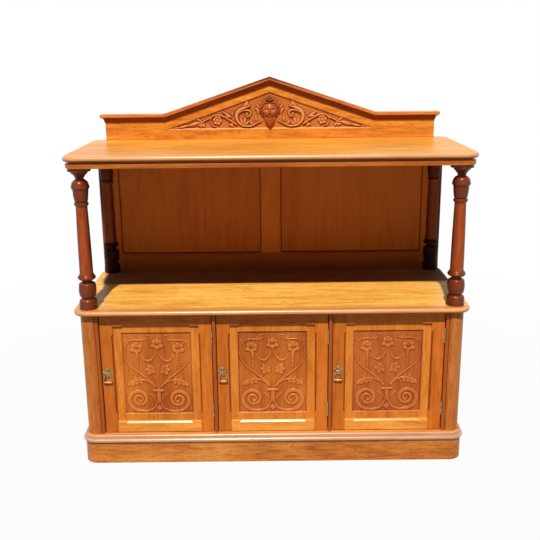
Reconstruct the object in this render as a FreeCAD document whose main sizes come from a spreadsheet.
import FreeCAD, Part
import math
import os
import Sketcher
from FreeCAD import Placement, Rotation, Vector

# Chiffonier: a three-door cupboard on a plinth, an open shelf on turned columns,
# a panelled back and a pedimented board on top. Millimetres, +Z up, front faces -Y,
# origin under the middle of the piece on the floor.

doc = FreeCAD.newDocument("chiffonier")
sheet = doc.addObject("Spreadsheet::Sheet", "sizes")

DRIVING_SIZES = [
    ("top_width", 1524, "both shelves, over their noses"),
    ("top_depth", 610, "both shelves, front nose to back edge"),
    ("top_thickness", 20, "both shelves"),
    ("top_overhang", 22, "shelf nose beyond the corner posts"),
    ("top_nose_radius", 9, "rounding of the shelf edge"),
    ("top_back_radius", 40, "rounded back corners of the shelves, in plan"),
    ("corner_radius", 37, "rounded outer corner of a post, in plan"),
    ("plinth_height", 90, "plinth boards"),
    ("plinth_projection", 13.5, "plinth face beyond the posts"),
    ("plinth_thickness", 28, "plinth boards"),
    ("plinth_back_setback", 4, "plinth back board in from the back edge"),
    ("plinth_back_thickness", 20, "plinth back board"),
    ("base_height", 16, "torus moulding on the plinth"),
    ("base_projection", 22, "torus moulding beyond the posts"),
    ("base_nose_radius", 7.5, "rounding of the torus moulding"),
    ("base_front_depth", 80, "front length of the torus moulding, front to back"),
    ("floor_thickness", 14, "cupboard floor"),
    ("floor_projection", 13, "floor edge beyond the posts"),
    ("floor_nose_radius", 6, "rounding of the floor edge"),
    ("cupboard_height", 497, "floor to the underside of the lower shelf"),
    ("post_width", 57, "corner post, along the front"),
    ("post_depth", 60, "corner post, front to back"),
    ("quirk_width", 4, "groove beside the bead"),
    ("quirk_depth", 3, "groove beside the bead"),
    ("bead_width", 15, "bead strip and partition"),
    ("bead_setback", 2, "bead nose behind the post face"),
    ("bead_depth", 30, "bead strip, nose to back"),
    ("bead_rise", 6, "rounded nose of the bead"),
    ("door_setback", 12, "door face behind the post face"),
    ("door_thickness", 21, "door stiles and rails"),
    ("door_gap", 2.5, "gap round a door"),
    ("stile_width", 50, "door stile"),
    ("top_rail_width", 46, "door top rail"),
    ("bottom_rail_width", 45, "door bottom rail"),
    ("panel_setback", 9, "panel border behind the stile face"),
    ("panel_thickness", 11, "door panel"),
    ("panel_border", 29.5, "flat border round the carved field"),
    ("carving_depth", 5, "sunk ground of the carved field"),
    ("groove_depth", 8, "panel groove in stiles and rails"),
    ("groove_width", 6, "panel groove in stiles and rails"),
    ("groove_setback", 11, "panel groove behind the frame face"),
    ("chamfer_width", 7, "stopped chamfer on the frames"),
    ("chamfer_stop", 33, "plain length at each end of a chamfer"),
    ("side_thickness", 20, "cupboard side panel"),
    ("side_setback", 2, "side panel inside the post face"),
    ("back_board_thickness", 12, "cupboard back boards"),
    ("back_board_setback", 6, "back boards in from the back edge"),
    ("door_stop_height", 20, "stop strip above each door"),
    ("door_stop_width", 12, "stop strip above each door"),
    ("door_stop_clearance", 0.5, "door back to the stop"),
    ("shelf_thickness", 18, "shelf inside the cupboard"),
    ("shelf_level", 240, "cupboard floor to the underside of the shelf"),
    ("shelf_setback", 8, "shelf front behind the posts"),
    ("bearer_height", 20, "shelf bearer"),
    ("bearer_width", 12, "shelf bearer"),
    ("bearer_inset", 30, "bearer in from the shelf's front and back"),
    ("hinge_length", 60, "butt hinge"),
    ("hinge_inset", 95, "end of the door to the middle of its hinge"),
    ("knuckle_radius", 3, "hinge knuckle"),
    ("knuckle_lift", 3.3, "hinge pin in front of the door face"),
    ("leaf_width", 18, "hinge leaf behind the door face"),
    ("pin_radius", 1.5, "hinge pin"),
    ("pin_clearance", 0.05, "pin in its knuckle"),
    ("hinge_clearance", 0.3, "between the two leaves and their knuckles"),
    ("notch_clearance", 0.9, "bead cut away round a knuckle"),
    ("handle_rise", 12, "handle pivot above the middle of the door"),
    ("handle_inset", 21.3, "handle pivot from the free edge of the door"),
    ("handle_plate_width", 39.6, "quatrefoil back plate"),
    ("handle_plate_thickness", 1.6, "quatrefoil back plate"),
    ("boss_radius", 5.2, "post that carries the drop"),
    ("boss_length", 15, "post from the door face to its tip"),
    ("boss_round", 2.5, "rounded tip of the post"),
    ("drop_standoff", 10, "drop pivot in front of the door face"),
    ("drop_height", 39, "pivot to the middle of the bottom bar"),
    ("drop_top_width", 16.4, "drop between rod middles at the pivot"),
    ("drop_bottom_width", 34.5, "drop between rod middles at the bottom"),
    ("drop_rod_radius", 2.4, "drop rod"),
    ("drop_clearance", 0.08, "drop rod in its post"),
    ("drop_top_bend", 3, "bend of the rod at the pivot"),
    ("drop_bottom_bend", 4.5, "bend of the rod at the bottom"),
    ("column_height", 542, "lower shelf to the lining"),
    ("column_base_radius", 36.5, "base of a column"),
    ("column_inset", 35.5, "column middle behind the post faces"),
    ("half_column_inset", 27, "half column's middle in from the post sides"),
    ("spigot_radius", 9, "turned spigot of a column"),
    ("spigot_length", 12, "turned spigot of a column"),
    ("spigot_clearance", 0.05, "spigot in its hole"),
    ("lining_height", 24, "lining under the upper shelf"),
    ("lining_quirk_height", 8, "recessed band at the top of the lining"),
    ("lining_quirk_depth", 8, "recessed band at the top of the lining"),
    ("lining_projection", 13.5, "lining face beyond the post line"),
    ("lining_width", 100, "lining boards"),
    ("back_thickness", 24, "back frame and pediment board"),
    ("back_frame_width", 1496, "back frame over its stiles"),
    ("back_stile_width", 83, "back frame stile"),
    ("back_muntin_width", 88, "back frame middle stile"),
    ("back_bottom_rail_width", 80, "back frame bottom rail"),
    ("back_top_rail_width", 93, "back frame top rail"),
    ("pediment_width", 1408, "pediment board"),
    ("pediment_end_height", 109, "pediment board at its ends"),
    ("pediment_rise", 150, "peak above the board's ends"),
    ("pediment_span", 904, "between the feet of the slopes"),
    ("cornice_height", 35, "cornice moulding"),
    ("cornice_projection", 19, "cornice moulding in front of the board"),
    ("cornice_fillet", 14.5, "square top member of the cornice"),
    ("cornice_step", 3, "step under the cornice's top member"),
    ("cornice_toe", 3, "bottom edge of the cornice"),
    ("tympanum_width", 886, "carved triangle"),
    ("tympanum_height", 154, "carved triangle"),
    ("tympanum_lift", 41, "carved triangle above the shelf"),
    ("tympanum_depth", 5, "sunk ground behind the board face"),
    ("tympanum_thickness", 12, "carved panel let into the board"),
    ("mask_width", 92, "carved mask"),
    ("mask_height", 137, "carved mask with its crest and beard"),
    ("mask_projection", 34, "carved mask in front of its ground"),
    ("mask_lift", 4, "tip of the beard above the triangle's base"),
    ("cut_overrun", 5, "cutting shapes past the face that they cut"),
]


class Size:
    """A length with the expression that gives it in the sheet."""

    def __init__(self, value, text):
        self.value = value
        self.text = text

    def __add__(self, other):
        other = as_size(other)
        return Size(self.value + other.value, f"({self.text} + {other.text})")

    def __sub__(self, other):
        other = as_size(other)
        return Size(self.value - other.value, f"({self.text} - {other.text})")

    def __neg__(self):
        return Size(-self.value, f"(0 - {self.text})")

    def __mul__(self, share):
        return Size(self.value * share, f"({self.text} * ({share!r}))")

    def __truediv__(self, share):
        return Size(self.value / share, f"({self.text} / ({share!r}))")


def as_size(item):
    return item if isinstance(item, Size) else Size(item, repr(item))


def hypotenuse(a, b):
    return Size(math.hypot(a.value, b.value), f"sqrt({a.text} * {a.text} + {b.text} * {b.text})")


def slope_angle(rise, run):
    angle = math.degrees(math.atan2(rise.value, run.value))
    return Size(angle, f"(atan({rise.text} / {run.text}))")


class Sizes:
    pass


size = Sizes()
for row, (alias, value, note) in enumerate(DRIVING_SIZES, start=1):
    sheet.set(f"A{row}", alias)
    sheet.set(f"B{row}", str(value))
    sheet.setAlias(f"B{row}", alias)
    sheet.set(f"C{row}", note)
    setattr(size, alias, Size(value, f"sizes.{alias}"))
doc.recompute()

ZERO = Size(0, "0")
QUARTER_BULGE_SHARE = math.tan(math.pi / 8) / 2
COVE_BULGE_SHARE = 0.17
SAW_SHARE = 6
SAW_LAP_SHARE = 1.5
parts = []

# Planes and levels that several pieces share
front_edge = -size.top_depth / 2
back_edge = size.top_depth / 2
post_front = front_edge + size.top_overhang
post_back = post_front + size.post_depth
carcass_half = size.top_width / 2 - size.top_overhang
post_inner = carcass_half - size.post_width
base_level = size.plinth_height
floor_under = base_level + size.base_height
floor_level = floor_under + size.floor_thickness
top_under = floor_level + size.cupboard_height
top_level = top_under + size.top_thickness
lining_under = top_level + size.column_height
upper_under = lining_under + size.lining_height
upper_level = upper_under + size.top_thickness
board_shoulder = upper_level + size.pediment_end_height
board_front = back_edge - size.back_thickness
board_peak = board_shoulder + size.pediment_rise
back_board_front = back_edge - size.back_board_setback - size.back_board_thickness
side_outer = carcass_half - size.side_setback
side_inner = side_outer - size.side_thickness
bay_width = (post_inner * 2 - size.bead_width * 4) / 3
bay_pitch = bay_width + size.bead_width
door_front = post_front + size.door_setback
door_back = door_front + size.door_thickness
door_bottom = floor_level + size.door_gap
door_top = top_under - size.door_gap
bead_front = post_front + size.bead_setback
bead_back = bead_front + size.bead_depth
column_x = carcass_half - size.column_inset
half_column_x = carcass_half - size.half_column_inset
column_y = post_front + size.column_inset


def keep(item, label):
    item.Label = label
    parts.append(item)
    return item


def place(item, x, y, z):
    item.setExpression("Placement.Base.x", x.text)
    item.setExpression("Placement.Base.y", y.text)
    item.setExpression("Placement.Base.z", z.text)
    return item


def board(name, x, y, z):
    # A plain board from its lowest and highest x, y and z
    item = doc.addObject("Part::Box", name)
    for side, (low, high) in zip(("Length", "Width", "Height"), (x, y, z)):
        item.setExpression(side, (high - low).text)
    return place(item, x[0], y[0], z[0])


def rod(name, radius, length, x, y, z, rotation=None):
    item = doc.addObject("Part::Cylinder", name)
    item.setExpression("Radius", radius.text)
    item.setExpression("Height", length.text)
    if rotation:
        item.Placement = Placement(Vector(), rotation)
    return place(item, x, y, z)


def joined(name, items):
    item = doc.addObject("Part::MultiFuse", name)
    item.Shapes = items
    item.Refine = True
    return item


def group(name, items):
    item = doc.addObject("Part::Compound", name)
    item.Links = items
    return item


def cut(name, base, tools):
    item = doc.addObject("Part::Cut", name)
    item.Base = base
    item.Tool = tools[0] if len(tools) == 1 else group(name + "_cuts", tools)
    return item


def mirrored(name, source):
    item = doc.addObject("Part::Mirroring", name)
    item.Source = source
    item.Normal = Vector(1, 0, 0)
    return item


def both_sides(stem, make):
    # A right-hand piece and its mirror image
    right = keep(make(stem + "_right"), stem + "_right")
    return keep(mirrored(stem + "_left", right), stem + "_left"), right


def pair(stem, make):
    # A right-hand piece and its mirror image in one node
    right = make(stem + "_right")
    return keep(group(stem, [mirrored(stem + "_left", right), right]), stem)


def new_sketch(body, plane, name):
    sketch = body.newObject("Sketcher::SketchObject", name)
    roles = {feature.Role: feature for feature in body.Origin.OriginFeatures}
    sketch.AttachmentSupport = (roles[plane], [""])
    sketch.MapMode = "FlatFace"
    return sketch


def draw(sketch, start, steps, closed=True):
    # A line (u, v) or an arc (u, v, bulge share of the chord; + bends to the right) for each step
    corners = [start]
    ends = []
    radii = {}
    for step in steps:
        p, q = corners[-1], step[:2]
        a = Vector(p[0].value, p[1].value, 0)
        b = Vector(q[0].value, q[1].value, 0)
        if len(step) == 2:
            geo = sketch.addGeometry(Part.LineSegment(a, b), False)
            ends.append(((geo, 1), (geo, 2)))
        else:
            bulge = step[2]
            chord = hypotenuse(q[0] - p[0], q[1] - p[1])
            radius = chord * ((1 + 4 * bulge * bulge) / (8 * abs(bulge)))
            left = Vector(a.y - b.y, b.x - a.x, 0).normalize()
            turn = math.copysign(1, bulge)
            reach = turn * (radius.value - abs(bulge) * chord.value)
            centre = (a + b) * 0.5 + left * reach
            low, high = (a, b) if turn > 0 else (b, a)
            from_angle = math.atan2(low.y - centre.y, low.x - centre.x)
            to_angle = math.atan2(high.y - centre.y, high.x - centre.x)
            if to_angle < from_angle:
                to_angle += 2 * math.pi
            circle = Part.Circle(centre, Vector(0, 0, 1), radius.value)
            geo = sketch.addGeometry(Part.ArcOfCircle(circle, from_angle, to_angle), False)
            ends.append(((geo, 1), (geo, 2)) if turn > 0 else ((geo, 2), (geo, 1)))
            radii[geo] = radius
        corners.append(q)
    rules = []
    bound = []
    count = len(steps)
    for i in range(count if closed else count - 1):
        rules.append(Sketcher.Constraint("Coincident", *ends[i][1], *ends[(i + 1) % count][0]))
    points = [(ends[i][0], corners[i]) for i in range(count)]
    if not closed:
        points.append((ends[-1][1], corners[-1]))
    for number, (end, corner) in enumerate(points):
        for kind, length in zip(("DistanceX", "DistanceY"), corner):
            rules.append(Sketcher.Constraint(kind, -1, 1, *end, length.value))
            bound.append((len(rules) - 1, f"{kind}_{number}", length))
    for geo, radius in radii.items():
        rules.append(Sketcher.Constraint("Radius", geo, radius.value))
        bound.append((len(rules) - 1, f"Radius_{geo}", radius))
    sketch.addConstraint(rules)
    for index, name, length in bound:
        sketch.renameConstraint(index, name)
        sketch.setExpression(f"Constraints.{name}", length.text)
    return sketch


def prism(name, plane, start, steps, length, at):
    # An outline on the XY plane rises; one on the XZ plane comes forward
    body = doc.addObject("PartDesign::Body", name)
    sketch = draw(new_sketch(body, plane, name + "_outline"), start, steps)
    pad = body.newObject("PartDesign::Pad", name + "_pad")
    pad.Profile = sketch
    pad.setExpression("Length", length.text)
    return place(body, *at)


def rounded(body, radius, wanted):
    # Rounds the edges of the body's last feature that the test picks
    doc.recompute()
    base = body.Tip
    names = [f"Edge{i}" for i, edge in enumerate(base.Shape.Edges, start=1) if wanted(edge)]
    fillet = body.newObject("PartDesign::Fillet", body.Name + "_rounding")
    fillet.Base = (base, names)
    fillet.setExpression("Radius", radius.text)
    body.Tip = fillet
    return body


def turned(name, start, steps, at, angle=360, forward=False):
    body = doc.addObject("PartDesign::Body", name)
    sketch = draw(new_sketch(body, "XZ_Plane", name + "_profile"), start, steps)
    turn = body.newObject("PartDesign::Revolution", name + "_turn")
    turn.Profile = sketch
    turn.ReferenceAxis = (sketch, ["V_Axis"])
    turn.Angle = angle
    turn.Reversed = forward
    return place(body, *at)


def rod_along(name, start, steps, radius, at):
    # A round rod bent along a closed path on the XZ plane, which starts at x 0
    body = doc.addObject("PartDesign::Body", name)
    path = draw(new_sketch(body, "XZ_Plane", name + "_path"), start, steps)
    section = new_sketch(body, "YZ_Plane", name + "_section")
    section.addGeometry(Part.Circle(Vector(0, start[1].value, 0), Vector(0, 0, 1), radius.value), False)
    section.addConstraint([
        Sketcher.Constraint("PointOnObject", 0, 3, -2),
        Sketcher.Constraint("DistanceY", -1, 1, 0, 3, start[1].value),
        Sketcher.Constraint("Radius", 0, radius.value),
    ])
    section.renameConstraint(1, "level")
    section.renameConstraint(2, "rod")
    section.setExpression("Constraints.level", start[1].text)
    section.setExpression("Constraints.rod", radius.text)
    pipe = body.newObject("PartDesign::AdditivePipe", name + "_pipe")
    pipe.Profile = section
    pipe.Spine = path
    return place(body, *at)


def chamfer_wedge(name, length, at, rotation):
    # A stopped chamfer's waste: a three-sided prism with sloping ends, its square corner at the origin
    item = doc.addObject("Part::Wedge", name)
    width = size.chamfer_width
    for corner in ("Xmin", "Ymin", "Zmin", "X2min", "X2max"):
        item.setExpression(corner, ZERO.text)
    item.setExpression("Xmax", width.text)
    item.setExpression("Ymax", width.text)
    item.setExpression("Zmax", length.text)
    item.setExpression("Z2min", width.text)
    item.setExpression("Z2max", (length - width).text)
    item.Placement = Placement(Vector(), rotation)
    return place(item, *at)


FACES_RIGHT = Rotation(Vector(0, 0, 1), 90)
FACES_LEFT = Rotation()
FACES_DOWN = Rotation(Vector(1, 1, 1), 120)
FACES_UP = Rotation(Vector(0, 1, 0), 90)
LIES_ALONG_X = Rotation(Vector(0, 1, 0), 90)
POINTS_FORWARD = Rotation(Vector(1, 0, 0), 90)


def upright_chamfer(name, x, front, z, rotation):
    stop = size.chamfer_stop
    return chamfer_wedge(name, z[1] - z[0] - stop * 2, (x, front, z[0] + stop), rotation)


def level_chamfer(name, x, front, z, rotation):
    stop = size.chamfer_stop
    return chamfer_wedge(name, x[1] - x[0] - stop * 2, (x[0] + stop, front, z), rotation)


class Frame:
    """The depths that the pieces of a panelled frame share."""

    def __init__(self, front, back):
        self.y = (front, back)
        groove = front + size.groove_setback
        self.groove = (groove, groove + size.groove_width)


def stile(name, frame, x, z, opening, right_side, left_side=False):
    # A stile grooved and chamfered on the edges that face a panel
    cuts = []
    past_ends = (z[0] - size.cut_overrun, z[1] + size.cut_overrun)
    if right_side:
        cuts.append(board(name + "_groove_r", (x[1] - size.groove_depth, x[1] + size.cut_overrun),
                          frame.groove, past_ends))
        cuts.append(upright_chamfer(name + "_chamfer_r", x[1], frame.y[0], opening, FACES_RIGHT))
    if left_side:
        cuts.append(board(name + "_groove_l", (x[0] - size.cut_overrun, x[0] + size.groove_depth),
                          frame.groove, past_ends))
        cuts.append(upright_chamfer(name + "_chamfer_l", x[0], frame.y[0], opening, FACES_LEFT))
    return cut(name, board(name + "_board", x, frame.y, z), cuts)


def rail(name, frame, x, z, openings, panel_below):
    # A rail with stub tenons in the stiles' grooves, grooved and chamfered where a panel meets it
    edge = z[0] if panel_below else z[1]
    inner = (edge, edge + size.groove_depth) if panel_below else (edge - size.groove_depth, edge)
    solid = (inner[1], z[1]) if panel_below else (z[0], inner[0])
    tenon = board(name + "_tenon", (x[0] - size.groove_depth, x[1] + size.groove_depth), frame.groove, solid)
    past = (inner[0] - size.cut_overrun, inner[1]) if panel_below else (inner[0], inner[1] + size.cut_overrun)
    cuts = [board(name + "_groove", (x[0] - size.cut_overrun, x[1] + size.cut_overrun), frame.groove, past)]
    facing = FACES_DOWN if panel_below else FACES_UP
    for number, opening in enumerate(openings):
        cuts.append(level_chamfer(f"{name}_chamfer_{number}", opening, frame.y[0], edge, facing))
    body = joined(name + "_blank", [board(name + "_board", x, frame.y, z), tenon])
    return cut(name, body, cuts)


# Plinth: boards round a frame, with solid rounded blocks at the two front corners
plinth_outer = carcass_half + size.plinth_projection
plinth_front_y = post_front - size.plinth_projection
plinth_radius = size.corner_radius + size.plinth_projection
plinth_z = (ZERO, size.plinth_height)
plinth_side_x = (plinth_outer - size.plinth_thickness, plinth_outer)
plinth_corner_x = plinth_outer - plinth_radius
plinth_corner_y = plinth_front_y + plinth_radius
plinth_back_y = back_edge - size.plinth_back_setback
keep(board("plinth_front", (-plinth_corner_x, plinth_corner_x),
           (plinth_front_y, plinth_front_y + size.plinth_thickness), plinth_z), "plinth_front")
pair("plinth_sides", lambda name: board(name, plinth_side_x, (plinth_corner_y, back_edge), plinth_z))
keep(board("plinth_back", (-plinth_side_x[0], plinth_side_x[0]),
           (plinth_back_y - size.plinth_back_thickness, plinth_back_y), (ZERO, floor_under)), "plinth_back")


def plinth_corner(name):
    corner = [(ZERO, ZERO), (ZERO, -plinth_radius), (plinth_radius, ZERO, QUARTER_BULGE_SHARE)]
    return prism(name, "XY_Plane", corner[0], corner[1:] + [corner[0]], size.plinth_height,
                 (plinth_corner_x, plinth_corner_y, ZERO))


pair("plinth_corners", plinth_corner)


def front_rounded(half, front, back, radius):
    # A board's plan with its two front corners rounded
    start = (-half, front + radius)
    steps = [
        (radius - half, front, QUARTER_BULGE_SHARE),
        (half - radius, front),
        (half, front + radius, QUARTER_BULGE_SHARE),
        (half, back),
        (-half, back),
        start,
    ]
    return start, steps


def on_show(back):
    # Picks the level edges of a board, apart from those along its back
    def wanted(edge):
        box = edge.BoundBox
        return box.ZLength < size.pin_clearance.value and box.YMin < back.value - size.cut_overrun.value
    return wanted


def upper_edge(level, back):
    shown = on_show(back)

    def wanted(edge):
        return shown(edge) and abs(edge.BoundBox.ZMin - level.value) < size.pin_clearance.value
    return wanted


# Torus moulding on the plinth, and the cupboard floor whose edge makes the step above it
base_outer = carcass_half + size.base_projection
base_radius = size.corner_radius + size.base_projection
base_front = post_front - size.base_projection
base_front_end = base_front + size.base_front_depth
base_moulding = prism("base_moulding_front", "XY_Plane",
                      *front_rounded(base_outer, base_front, base_front_end, base_radius),
                      size.base_height, (ZERO, ZERO, base_level))
keep(rounded(base_moulding, size.base_nose_radius, on_show(base_front_end)), "base_moulding_front")


def outer_nose(half):
    def wanted(edge):
        box = edge.BoundBox
        return box.YLength > size.cut_overrun.value and box.XMin > half.value - size.pin_clearance.value
    return wanted


def base_side(name):
    inner = plinth_side_x[0]
    body = prism(name, "XY_Plane", (inner, base_front_end),
                 [(base_outer, base_front_end), (base_outer, back_edge), (inner, back_edge),
                  (inner, base_front_end)],
                 size.base_height, (ZERO, ZERO, base_level))
    return rounded(body, size.base_nose_radius, outer_nose(base_outer))


both_sides("base_moulding", base_side)
floor_board = prism("cupboard_floor", "XY_Plane",
                    *front_rounded(carcass_half + size.floor_projection, post_front - size.floor_projection,
                                   back_board_front, size.corner_radius + size.floor_projection),
                    size.floor_thickness, (ZERO, ZERO, floor_under))
keep(rounded(floor_board, size.floor_nose_radius, upper_edge(size.floor_thickness, back_board_front)),
     "cupboard_floor")

# Cupboard carcass: corner posts, sides, partitions, back boards
carcass_z = (floor_level, top_under)


def corner_post(name):
    radius = size.corner_radius
    start = (post_inner, post_front + size.quirk_depth)
    steps = [
        (post_inner + size.quirk_width, post_front + size.quirk_depth),
        (post_inner + size.quirk_width, post_front),
        (carcass_half - radius, post_front),
        (carcass_half, post_front + radius, QUARTER_BULGE_SHARE),
        (carcass_half, post_back),
        (post_inner, post_back),
        start,
    ]
    return prism(name, "XY_Plane", start, steps, size.cupboard_height, (ZERO, ZERO, floor_level))


both_sides("corner_post", corner_post)
both_sides("side_panel", lambda name: board(name, (side_inner, side_outer), (post_back, back_board_front),
                                            carcass_z))
partition_x = (bay_width / 2, bay_width / 2 + size.bead_width)
both_sides("partition", lambda name: board(name, partition_x, (bead_back, back_board_front), carcass_z))
BACK_BOARD_COUNT = 8
back_board_width = side_outer * 2 / BACK_BOARD_COUNT
keep(group("cupboard_back_boards", [
    board(f"back_board_{i}", (back_board_width * i - side_outer, back_board_width * (i + 1) - side_outer),
          (back_board_front, back_board_front + size.back_board_thickness), (floor_under, top_under))
    for i in range(BACK_BOARD_COUNT)]), "cupboard_back_boards")

# Shelves of the three bays on their bearers
inner_shelf_under = floor_level + size.shelf_level
shelf_z = (inner_shelf_under, inner_shelf_under + size.shelf_thickness)
bearer_z = (inner_shelf_under - size.bearer_height, inner_shelf_under)
shelf_y = (post_back + size.shelf_setback, back_board_front)
bearer_y = (shelf_y[0] + size.bearer_inset, shelf_y[1] - size.bearer_inset)
bays = {
    "left": (-side_inner, -partition_x[1]),
    "centre": (-partition_x[0], partition_x[0]),
    "right": (partition_x[1], side_inner),
}
keep(group("cupboard_shelves", [board(f"shelf_{bay}", x, shelf_y, shelf_z) for bay, x in bays.items()]),
     "cupboard_shelves")
keep(group("shelf_bearers", [
    board(f"bearer_{bay}_{end}", x, bearer_y, bearer_z)
    for bay, inside in bays.items()
    for end, x in (("low", (inside[0], inside[0] + size.bearer_width)),
                   ("high", (inside[1] - size.bearer_width, inside[1])))]), "shelf_bearers")

# Doors: the sides of each opening, hinge axes and hinge heights
bay_index = {"left": -1, "centre": 0, "right": 1}
openings = {
    bay: (bay_pitch * i - bay_width / 2, bay_pitch * i + bay_width / 2)
    for bay, i in bay_index.items()}
hinge_middles = (door_bottom + size.hinge_inset, door_top - size.hinge_inset)
axis_y = door_front - size.knuckle_lift
keep(group("door_stops", [
    board(f"door_stop_{bay}", x,
          (door_back + size.door_stop_clearance, door_back + size.door_stop_clearance + size.door_stop_width),
          (top_under - size.door_stop_height, top_under))
    for bay, x in openings.items()]), "door_stops")


def bead(name, x, hinged):
    # A strip with a rounded nose, cut away where the hinge knuckles of the door on its left lie
    half = size.bead_width / 2
    nose_share = size.bead_rise.value / size.bead_width.value
    shoulder = bead_front + size.bead_rise
    start = (-half, shoulder)
    steps = [(half, shoulder, nose_share), (half, bead_back), (-half, bead_back), start]
    strip = prism(name + "_strip", "XY_Plane", start, steps, size.cupboard_height,
                  (x + half, ZERO, floor_level))
    if not hinged:
        return strip
    reach = size.knuckle_radius - size.door_gap / 2 + size.notch_clearance
    cuts = [
        board(f"{name}_notch_{i}", (x - size.cut_overrun, x + reach),
              (bead_front - size.cut_overrun, door_front),
              (middle - size.hinge_length / 2 - size.notch_clearance,
               middle + size.hinge_length / 2 + size.notch_clearance))
        for i, middle in enumerate(hinge_middles)]
    return cut(name + "_notched", strip, cuts)


bead_lefts = [-post_inner] + [x[1] for x in openings.values()]
keep(group("door_beads", [bead(f"bead_{i}", x, i > 0) for i, x in enumerate(bead_lefts)]), "door_beads")


def barrel(name, x, z):
    # One knuckle of a hinge, bored for its pin
    outside = rod(name + "_outside", size.knuckle_radius, z[1] - z[0], x, axis_y, z[0])
    bore = rod(name + "_bore", size.pin_radius + size.pin_clearance, z[1] - z[0] + size.cut_overrun * 2,
               x, axis_y, z[0] - size.cut_overrun)
    return cut(name, outside, [bore])


def hinge_leaf(name, axis_x, middle, on_door):
    half = size.hinge_length / 2
    sixth = size.hinge_length / 6
    slack = size.hinge_clearance / 2
    if on_door:
        x = (axis_x - size.door_gap / 2, axis_x - slack)
        knuckles = [(middle - sixth + slack, middle + sixth - slack)]
    else:
        x = (axis_x + slack, axis_x + size.door_gap / 2)
        knuckles = [(middle - half, middle - sixth - slack), (middle + sixth + slack, middle + half)]
    tab_y = (axis_y + (size.knuckle_radius + size.pin_radius) / 2, door_front)
    pieces = [board(name + "_plate", x, (door_front, door_front + size.leaf_width),
                    (middle - half, middle + half))]
    for i, z in enumerate(knuckles):
        pieces.append(board(f"{name}_tab_{i}", x, tab_y, z))
        pieces.append(barrel(f"{name}_knuckle_{i}", axis_x, z))
    return joined(name, pieces)


hinge_axes = {bay: x[1] - size.door_gap / 2 for bay, x in openings.items()}
keep(group("hinge_frame_leaves", [
    hinge_leaf(f"frame_leaf_{bay}_{i}", axis_x, middle, False)
    for bay, axis_x in hinge_axes.items() for i, middle in enumerate(hinge_middles)]), "hinge_frame_leaves")
keep(group("hinge_pins", [
    rod(f"hinge_pin_{bay}_{i}", size.pin_radius, size.hinge_length, axis_x, axis_y,
        middle - size.hinge_length / 2)
    for bay, axis_x in hinge_axes.items() for i, middle in enumerate(hinge_middles)]), "hinge_pins")

drop_y = door_front - size.drop_standoff
drop_z = (door_bottom + door_top) / 2 + size.handle_rise
# Middles and radii of the plate's four lobes and its middle, as shares of its width
PLATE_LOBE_SHARES = [(0, 0.34, 0.16), (0, -0.34, 0.16), (0.34, 0, 0.16), (-0.34, 0, 0.16), (0, 0, 0.22)]


def handle_plate(name, x):
    # A quatrefoil plate with a round-tipped post, cross bored for the drop
    width = size.handle_plate_width
    lobes = [
        rod(f"{name}_lobe_{i}", width * radius, size.handle_plate_thickness, x + width * side, door_front,
            drop_z + width * up, POINTS_FORWARD)
        for i, (side, up, radius) in enumerate(PLATE_LOBE_SHARES)]
    post = doc.addObject("PartDesign::Body", name + "_post")
    sketch = new_sketch(post, "XZ_Plane", name + "_post_outline")
    sketch.addGeometry(Part.Circle(Vector(), Vector(0, 0, 1), size.boss_radius.value), False)
    sketch.addConstraint([Sketcher.Constraint("Coincident", 0, 3, -1, 1),
                          Sketcher.Constraint("Radius", 0, size.boss_radius.value)])
    sketch.renameConstraint(1, "boss")
    sketch.setExpression("Constraints.boss", size.boss_radius.text)
    pad = post.newObject("PartDesign::Pad", name + "_post_pad")
    pad.Profile = sketch
    pad.setExpression("Length", size.boss_length.text)
    tip = -size.boss_length.value
    rounded(post, size.boss_round, lambda edge: abs(edge.BoundBox.YMax - tip) < size.pin_clearance.value)
    place(post, x, door_front, drop_z)
    reach = size.boss_radius + size.cut_overrun
    bore = rod(name + "_bore", size.drop_rod_radius + size.drop_clearance, reach * 2,
               x - reach, drop_y, drop_z, LIES_ALONG_X)
    return cut(name, joined(name + "_blank", lobes + [post]), [bore])


def corner_bend(p, corner, q, bend):
    # The points where a rounded corner of a path starts and ends, and its bulge
    def toward(end):
        span = hypotenuse(end[0] - corner[0], end[1] - corner[1])
        a = Vector(end[0].value - corner[0].value, end[1].value - corner[1].value, 0)
        return span, a

    span_p, a = toward(p)
    span_q, b = toward(q)
    half_angle = a.getAngle(b) / 2
    back = bend / math.tan(half_angle)
    bulge = math.tan((math.pi - 2 * half_angle) / 4) / 2

    def along(end, span):
        return tuple(Size(c.value + (e.value - c.value) * back.value / span.value,
                          f"({c.text} + ({e.text} - {c.text}) * {back.text} / {span.text})")
                     for c, e in zip(corner, end))
    return along(p, span_p), along(q, span_q), bulge


def drop_ring(name, x):
    # A stirrup drop: one closed rod, narrow at the pivot and wide at the bottom bar
    top = size.drop_top_width / 2
    low = size.drop_bottom_width / 2
    down = -size.drop_height
    corners = [(low, down, size.drop_bottom_bend), (top, ZERO, size.drop_top_bend),
               (-top, ZERO, size.drop_top_bend), (-low, down, size.drop_bottom_bend)]
    start = (ZERO, down)
    ring = [start] + [corner[:2] for corner in corners] + [start]
    steps = []
    for i, corner in enumerate(corners, start=1):
        into, out, bulge = corner_bend(ring[i - 1], ring[i], ring[i + 1], corner[2])
        steps.append(into)
        steps.append((*out, bulge))
    return rod_along(name, start, steps + [start], size.drop_rod_radius, (x, drop_y, drop_z))


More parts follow.
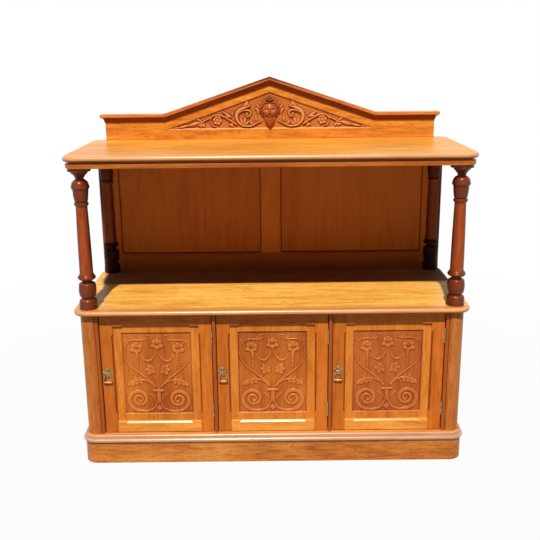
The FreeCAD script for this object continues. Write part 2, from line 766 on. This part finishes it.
door_frame = Frame(door_front, door_back)
for bay, (opening_left, opening_right) in openings.items():
    stem = f"door_{bay}"
    left = opening_left + size.door_gap
    right = opening_right - size.door_gap
    inside = (left + size.stile_width, right - size.stile_width)
    panel_z = (door_bottom + size.bottom_rail_width, door_top - size.top_rail_width)
    door_z = (door_bottom, door_top)
    keep(group(stem + "_stiles", [
        stile(stem + "_stile_free", door_frame, (left, inside[0]), door_z, panel_z, True),
        stile(stem + "_stile_hinge", door_frame, (inside[1], right), door_z, panel_z, False, True),
    ]), stem + "_stiles")
    keep(group(stem + "_rails", [
        rail(stem + "_rail_bottom", door_frame, inside, (door_bottom, panel_z[0]), [inside], False),
        rail(stem + "_rail_top", door_frame, inside, (panel_z[1], door_top), [inside], True),
    ]), stem + "_rails")
    panel_front = door_front + size.panel_setback
    tongue = board(stem + "_tongue", (inside[0] - size.groove_depth, inside[1] + size.groove_depth),
                   door_frame.groove, (panel_z[0] - size.groove_depth, panel_z[1] + size.groove_depth))
    slab = board(stem + "_slab", inside, (panel_front, panel_front + size.panel_thickness), panel_z)
    field = board(stem + "_field", (inside[0] + size.panel_border, inside[1] - size.panel_border),
                  (panel_front - size.cut_overrun, panel_front + size.carving_depth),
                  (panel_z[0] + size.panel_border, panel_z[1] - size.panel_border))
    keep(cut(stem + "_panel", joined(stem + "_panel_blank", [slab, tongue]), [field]), stem + "_panel")
    keep(group(stem + "_hinge_leaves", [
        hinge_leaf(f"{stem}_leaf_{i}", hinge_axes[bay], middle, True)
        for i, middle in enumerate(hinge_middles)]), stem + "_hinge_leaves")
    handle_x = left + size.handle_inset
    keep(handle_plate(stem + "_handle_plate", handle_x), stem + "_handle_plate")
    keep(drop_ring(stem + "_drop", handle_x), stem + "_drop")


def shelf_plan():
    # Both shelves: larger radius at the front corners, smaller at the back
    half = size.top_width / 2
    front = size.corner_radius + size.top_overhang
    back = size.top_back_radius
    start = (-half, front_edge + front)
    return start, [
        (front - half, front_edge, QUARTER_BULGE_SHARE),
        (half - front, front_edge),
        (half, front_edge + front, QUARTER_BULGE_SHARE),
        (half, back_edge - back),
        (half - back, back_edge, QUARTER_BULGE_SHARE),
        (back - half, back_edge),
        (-half, back_edge - back, QUARTER_BULGE_SHARE),
        start,
    ]


def shelf_blank(name, level):
    body = prism(name, "XY_Plane", *shelf_plan(), size.top_thickness, (ZERO, ZERO, level))
    return rounded(body, size.top_nose_radius, on_show(back_edge))


def spigot_holes(name, low):
    return [
        rod(f"{name}_{side}", size.spigot_radius + size.spigot_clearance,
            size.spigot_length + size.cut_overrun, column_x * sign, column_y, low)
        for side, sign in (("left", -1), ("right", 1))]


keep(cut("cupboard_top", shelf_blank("cupboard_top_blank", top_under),
         spigot_holes("cupboard_top_hole", top_level - size.spigot_length)), "cupboard_top")

# Turned profile from the base up: height share, radius share of the base, bulge share of the step
COLUMN_PROFILE_SHARES = [
    (0, 0.96, 0), (0.036, 0.96, 0), (0.041, 0.93, 0), (0.077, 0.63, 0.2), (0.084, 0.61, 0),
    (0.103, 0.865, 0.2), (0.175, 0.86, 0.05), (0.19, 0.68, 0.2), (0.197, 0.53, 0), (0.204, 0.53, 0),
    (0.215, 0.82, -0.15), (0.219, 0.88, 0), (0.238, 0.88, 0.2), (0.243, 0.84, 0), (0.264, 0.7, -0.12),
    (0.725, 0.596, 0.003), (0.737, 0.64, -0.12), (0.741, 0.695, 0), (0.76, 0.695, 0.14), (0.764, 0.58, 0),
    (0.776, 0.69, 0.15), (0.836, 0.79, 0.02), (0.853, 0.84, -0.05), (0.857, 0.9, 0), (0.878, 0.9, 0.13),
    (0.882, 0.88, 0), (0.917, 0.5, 0.13), (0.922, 0.43, 0), (0.928, 0.43, 0), (0.961, 0.81, -0.05),
    (0.964, 0.86, 0), (0.974, 0.87, 0), (0.976, 1.17, 0), (1, 1.17, 0),
]


def column_outline():
    def spot(share, radius_share):
        return (size.column_base_radius * radius_share, size.column_height * share)

    top = size.column_height + size.spigot_length
    steps = [(size.spigot_radius, -size.spigot_length), (size.spigot_radius, ZERO)]
    for height, radius, bulge in COLUMN_PROFILE_SHARES:
        u, v = spot(height, radius)
        steps.append((u, v, bulge) if bulge else (u, v))
    steps += [(size.spigot_radius, size.column_height), (size.spigot_radius, top), (ZERO, top)]
    start = (ZERO, -size.spigot_length)
    return start, steps + [start]


both_sides("column", lambda name: turned(name, *column_outline(), (column_x, column_y, top_level)))


def half_column(name):
    # A split turning: the front half of a column without spigots
    steps = []
    for height, radius, bulge in COLUMN_PROFILE_SHARES:
        u, v = size.column_base_radius * radius, size.column_height * height
        steps.append((u, v, bulge) if bulge else (u, v))
    start = (ZERO, ZERO)
    steps += [(ZERO, size.column_height), start]
    return turned(name, start, steps, (half_column_x, board_front, top_level), angle=180, forward=True)


both_sides("half_column", half_column)

# Lining under the upper shelf: a recessed band above a wider face
lining_outer = carcass_half + size.lining_projection
lining_front_y = post_front - size.lining_projection
lining_radius = size.corner_radius + size.lining_projection
lining_back = lining_front_y + size.lining_width
band_height = size.lining_height - size.lining_quirk_height
quirk = size.lining_quirk_depth
face = prism("lining_front_face", "XY_Plane",
             *front_rounded(lining_outer, lining_front_y, lining_back, lining_radius),
             band_height, (ZERO, ZERO, lining_under))
band = prism("lining_front_band", "XY_Plane",
             *front_rounded(lining_outer - quirk, lining_front_y + quirk, lining_back, lining_radius - quirk),
             size.lining_quirk_height, (ZERO, ZERO, lining_under + band_height))
keep(cut("lining_front", joined("lining_front_blank", [face, band]),
         spigot_holes("lining_hole", lining_under - size.cut_overrun)), "lining_front")


def lining_side(name):
    inner = lining_outer - size.lining_width
    y = (lining_back, board_front)
    return joined(name, [
        board(name + "_face", (inner, lining_outer), y, (lining_under, lining_under + band_height)),
        board(name + "_band", (inner, lining_outer - quirk), y, (lining_under + band_height, upper_under)),
    ])


pair("lining_sides", lining_side)

# Panelled back between the shelves
back_frame = Frame(board_front, back_edge)
back_outer = size.back_frame_width / 2
back_inner = back_outer - size.back_stile_width
muntin = size.back_muntin_width / 2
back_z = (top_level, upper_under)
back_opening_z = (top_level + size.back_bottom_rail_width, upper_under - size.back_top_rail_width)
back_openings = [(-back_inner, -muntin), (muntin, back_inner)]
both_sides("back_stile", lambda name: stile(name, back_frame, (back_inner, back_outer), back_z,
                                            back_opening_z, False, True))
back_rail_x = (-back_inner, back_inner)
keep(rail("back_rail_bottom", back_frame, back_rail_x, (top_level, back_opening_z[0]), back_openings, False),
     "back_rail_bottom")
keep(rail("back_rail_top", back_frame, back_rail_x, (back_opening_z[1], upper_under), back_openings, True),
     "back_rail_top")
back_panel_z = (back_opening_z[0] - size.groove_depth, back_opening_z[1] + size.groove_depth)
muntin_tenon = board("back_muntin_tenon", (size.groove_depth - muntin, muntin - size.groove_depth),
                     back_frame.groove, back_panel_z)
muntin_board = stile("back_muntin_board", back_frame, (-muntin, muntin), back_opening_z, back_opening_z,
                     True, True)
keep(joined("back_muntin", [muntin_board, muntin_tenon]), "back_muntin")
keep(group("back_panels", [
    board(f"back_panel_{i}", (x[0] - size.groove_depth, x[1] + size.groove_depth), back_frame.groove,
          back_panel_z)
    for i, x in enumerate(back_openings)]), "back_panels")

keep(shelf_blank("upper_shelf", upper_under), "upper_shelf")

# Pediment board with a triangular recess for the carved panel
board_half = size.pediment_width / 2
knee = size.pediment_span / 2
board_start = (-board_half, upper_level)
board_steps = [(board_half, upper_level), (board_half, board_shoulder), (knee, board_shoulder),
               (ZERO, board_peak), (-knee, board_shoulder), (-board_half, board_shoulder), board_start]
triangle_base = upper_level + size.tympanum_lift
triangle_half = size.tympanum_width / 2
triangle_start = (-triangle_half, triangle_base)
triangle_steps = [(triangle_half, triangle_base), (ZERO, triangle_base + size.tympanum_height),
                  triangle_start]
recess_back = board_front + size.tympanum_depth + size.tympanum_thickness
pediment_blank = prism("pediment_blank", "XZ_Plane", board_start, board_steps, size.back_thickness,
                       (ZERO, back_edge, ZERO))
recess = prism("pediment_recess", "XZ_Plane", triangle_start, triangle_steps,
               size.tympanum_depth + size.tympanum_thickness + size.cut_overrun, (ZERO, recess_back, ZERO))
keep(cut("pediment_board", pediment_blank, [recess]), "pediment_board")
keep(prism("tympanum", "XZ_Plane", triangle_start, triangle_steps, size.tympanum_thickness,
           (ZERO, recess_back, ZERO)), "tympanum")

# Cornice: level runs, returns at the ends and sloping runs, all of one moulding, mitred where they meet
rake = slope_angle(size.pediment_rise, knee)
cornice_end = board_half + size.cornice_projection
saw_side = size.cornice_projection * SAW_SHARE
saw_lap = size.cornice_projection * SAW_LAP_SHARE
UPRIGHT = Vector(0, 0, 1)
ACROSS = Vector(0, 1, 0)
end_corner = (board_half, board_front, board_shoulder)
knee_corner = (knee, board_front, board_shoulder)
peak_corner = (ZERO, board_front, board_peak)
half_right_angle = Size(45, "45")


def cornice_section(out):
    # The moulding's section from the board's top front edge; out is 1 or -1, away from the board
    depth = size.cornice_projection * out
    step = depth - size.cornice_step * out
    toe = size.cornice_toe * out
    return (ZERO, ZERO), [
        (depth, ZERO),
        (depth, -size.cornice_fillet),
        (step, -size.cornice_fillet),
        (toe, size.cornice_toe - size.cornice_height, COVE_BULGE_SHARE * out),
        (toe, -size.cornice_height),
        (ZERO, -size.cornice_height),
        (ZERO, ZERO),
    ]


def saw(name, at, axis, angle, keep_low):
    # A block whose face is a mitre: it removes what lies beyond, or short of, the mitre
    item = doc.addObject("Part::Box", name)
    for side in ("Length", "Width", "Height"):
        item.setExpression(side, saw_side.text)
    turn = Rotation(axis, angle.value)
    corner = Vector(0 if keep_low else -saw_side.value, -saw_side.value / 2, -saw_side.value / 2)
    item.Placement = Placement(Vector(*(c.value for c in at)) + turn.multVec(corner), turn)
    return item


def cornice_flat(name):
    run = prism(name + "_run", "YZ_Plane", *cornice_section(-1), cornice_end - knee + saw_lap,
                (knee - saw_lap, board_front, board_shoulder))
    return cut(name, run, [saw(name + "_end_saw", end_corner, UPRIGHT, half_right_angle, True),
                           saw(name + "_knee_saw", knee_corner, ACROSS, rake / 2, False)])


def cornice_return(name):
    length = size.back_thickness + size.cornice_projection
    run = prism(name + "_run", "XZ_Plane", *cornice_section(1), length,
                (board_half, back_edge, board_shoulder))
    return cut(name, run, [saw(name + "_saw", end_corner, UPRIGHT, half_right_angle, False)])


def cornice_rake(name):
    length = hypotenuse(size.pediment_rise, knee) + saw_lap * 2
    run = prism(name + "_run", "YZ_Plane", *cornice_section(-1), length, peak_corner)
    turn = Rotation(ACROSS, rake.value)
    start = Vector(*(c.value for c in peak_corner)) + turn.multVec(Vector(-saw_lap.value, 0, 0))
    for axis in "xyz":
        run.setExpression(f"Placement.Base.{axis}", None)
    run.Placement = Placement(start, turn)
    return cut(name, run, [saw(name + "_knee_saw", knee_corner, ACROSS, rake / 2, True),
                           saw(name + "_peak_saw", peak_corner, ACROSS, ZERO, False)])


pair("cornice_flats", cornice_flat)
pair("cornice_returns", cornice_return)
pair("cornice_rakes", cornice_rake)

# Carved mask: rounded forms on a flat back, as x, z, half width, half height and depth shares
MASK_FORM_SHARES = [
    (0, 0.5, 0.33, 0.3, 0.62), (0, 0.68, 0.36, 0.1, 0.7), (-0.22, 0.46, 0.19, 0.14, 0.82),
    (0.22, 0.46, 0.19, 0.14, 0.82), (0, 0.5, 0.09, 0.14, 1), (0, 0.3, 0.17, 0.06, 0.72),
    (0, 0.16, 0.15, 0.16, 0.6),
    (0, 0.88, 0.11, 0.12, 0.6), (-0.26, 0.78, 0.15, 0.08, 0.5), (0.26, 0.78, 0.15, 0.08, 0.5),
    (-0.38, 0.6, 0.12, 0.13, 0.4), (0.38, 0.6, 0.12, 0.13, 0.4),
]
mask_foot = triangle_base + size.mask_lift
mask_back = board_front + size.tympanum_depth
mask_forms = []
for i, (side, up, half_width, half_height, lift) in enumerate(MASK_FORM_SHARES):
    form = doc.addObject("Part::Ellipsoid", f"mask_form_{i}")
    form.setExpression("Radius1", (size.mask_height * half_height).text)
    form.setExpression("Radius2", (size.mask_width * half_width).text)
    form.setExpression("Radius3", (size.mask_projection * lift).text)
    mask_forms.append(place(form, size.mask_width * side, mask_back, mask_foot + size.mask_height * up))
mask_room = board("mask_room", (-size.mask_width, size.mask_width),
                  (mask_back - size.mask_projection * 2, mask_back),
                  (mask_foot - size.mask_height, mask_foot + size.mask_height * 2))
mask = doc.addObject("Part::MultiCommon", "mask")
mask.Shapes = [joined("mask_blank", mask_forms), mask_room]
keep(mask, "mask")

doc.recompute()
for item in doc.Objects:
    if "Invalid" in item.State or "Error" in item.State:
        raise RuntimeError(f"{item.Name} failed: {item.State}")
for item in parts:
    if item.Shape.isNull() or not item.Shape.isValid():
        raise RuntimeError(f"{item.Label} has no valid shape")

os.makedirs("parts", exist_ok=True)
for item in parts:
    item.Shape.exportStep(f"parts/{item.Label}.step")
    print(f"{item.Label}: {len(item.Shape.Solids)} solids, {item.Shape.Volume / 1000:.1f} cm3")
print(f"{len(parts)} nodes, peak at {board_peak.value:.1f} mm")
